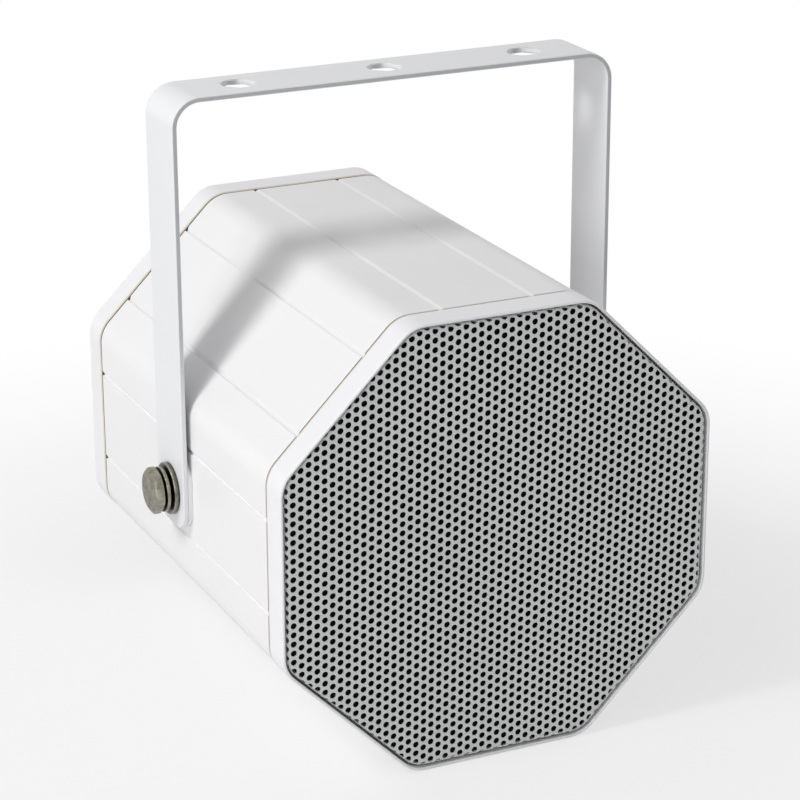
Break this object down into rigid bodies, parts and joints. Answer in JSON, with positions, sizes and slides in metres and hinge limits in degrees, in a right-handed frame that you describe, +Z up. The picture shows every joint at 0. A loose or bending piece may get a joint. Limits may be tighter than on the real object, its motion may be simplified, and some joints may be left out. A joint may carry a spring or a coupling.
{
  "type": "bidirectional speaker",
  "caption": "Octagonal loudspeaker with a grille and driver at each end, hung in a U bracket that turns on two side bolts.",
  "frame": {"origin": "under the middle of the body, on the surface that the end rings rest on", "axes": "+X along the bracket's pivot axis, Y along the driver axis with the front grille at -Y, +Z up to the bracket's top"},
  "size_m": [0.1972, 0.1982, 0.239],
  "materials": {
    "painted_body": "white powder coat, satin",
    "painted_ring": "white, moulded, satin",
    "gasket": "yellowed cream gasket",
    "black_board": "black",
    "grille_sheet": "light grey powder coat",
    "cloth": "black acoustic cloth",
    "zinc_screw": "zinc plated",
    "black_steel": "black paint",
    "foam": "matt black",
    "paper": "black paper pulp",
    "coil": "enamelled copper",
    "spider_cloth": "varnished cloth",
    "zinc_plate": "zinc plated",
    "ferrite": "dark ferrite",
    "painted_bracket": "white powder coat, satin",
    "stainless": "stainless steel",
    "white_nylon": "white",
    "laminations": "varnished steel sheets",
    "winding": "taped copper winding",
    "terminal": "green",
    "gland": "dark grey nylon",
    "gland_rubber": "black rubber"
  },
  "bodies": {
    "speaker": {"body_shell": "painted_body", "front_ring": "painted_ring", "rear_ring": "painted_ring", "front_seal": "gasket", "rear_seal": "gasket", "front_baffle": "black_board", "rear_baffle": "black_board", "front_grille": "grille_sheet", "rear_grille": "grille_sheet", "front_cloth": "cloth", "rear_cloth": "cloth", "front_ring_screws": "zinc_screw", "rear_ring_screws": "zinc_screw", "front_basket": "black_steel", "rear_basket": "black_steel", "front_basket_screws": "zinc_screw", "rear_basket_screws": "zinc_screw", "front_surround": "foam", "rear_surround": "foam", "front_spider": "spider_cloth", "rear_spider": "spider_cloth", "front_top_plate": "zinc_plate", "rear_top_plate": "zinc_plate", "front_magnet": "ferrite", "rear_magnet": "ferrite", "front_yoke": "zinc_plate", "rear_yoke": "zinc_plate", "left_bolt": "stainless", "right_bolt": "stainless", "left_spring_washer": "stainless", "right_spring_washer": "stainless", "left_washer": "stainless", "right_washer": "stainless", "left_spacer": "white_nylon", "right_spacer": "white_nylon", "left_nut_plate": "zinc_plate", "right_nut_plate": "zinc_plate", "chassis_plate": "zinc_plate", "transformer_core": "laminations", "transformer_winding": "winding", "transformer_clamp": "zinc_plate", "chassis_screws": "zinc_screw", "terminal_block": "terminal", "terminal_screws": "zinc_screw", "gland_body": "gland", "gland_nut": "gland", "gland_seal": "gland_rubber", "gland_locknut": "gland"},
    "bracket_arm": {"bracket": "painted_bracket"},
    "front_diaphragm": {"front_cone": "paper", "front_dust_cap": "paper", "front_voice_coil": "coil"},
    "rear_diaphragm": {"rear_cone": "paper", "rear_dust_cap": "paper", "rear_voice_coil": "coil"}
  },
  "joints": [
    {"name": "bracket_tilt", "type": "hinge", "parent": "speaker", "child": "bracket_arm", "pos_m": [0, 0, 0.0862], "axis": [1, 0, 0], "continuous": true},
    {"name": "front_cone_travel", "type": "slide", "parent": "speaker", "child": "front_diaphragm", "axis": [0, -1, 0], "range_m": [-0.0015, 0.0015], "stiffness_N_per_m": 1500},
    {"name": "rear_cone_travel", "type": "slide", "parent": "speaker", "child": "rear_diaphragm", "axis": [0, 1, 0], "range_m": [-0.0015, 0.0015], "stiffness_N_per_m": 1500}
  ]
}
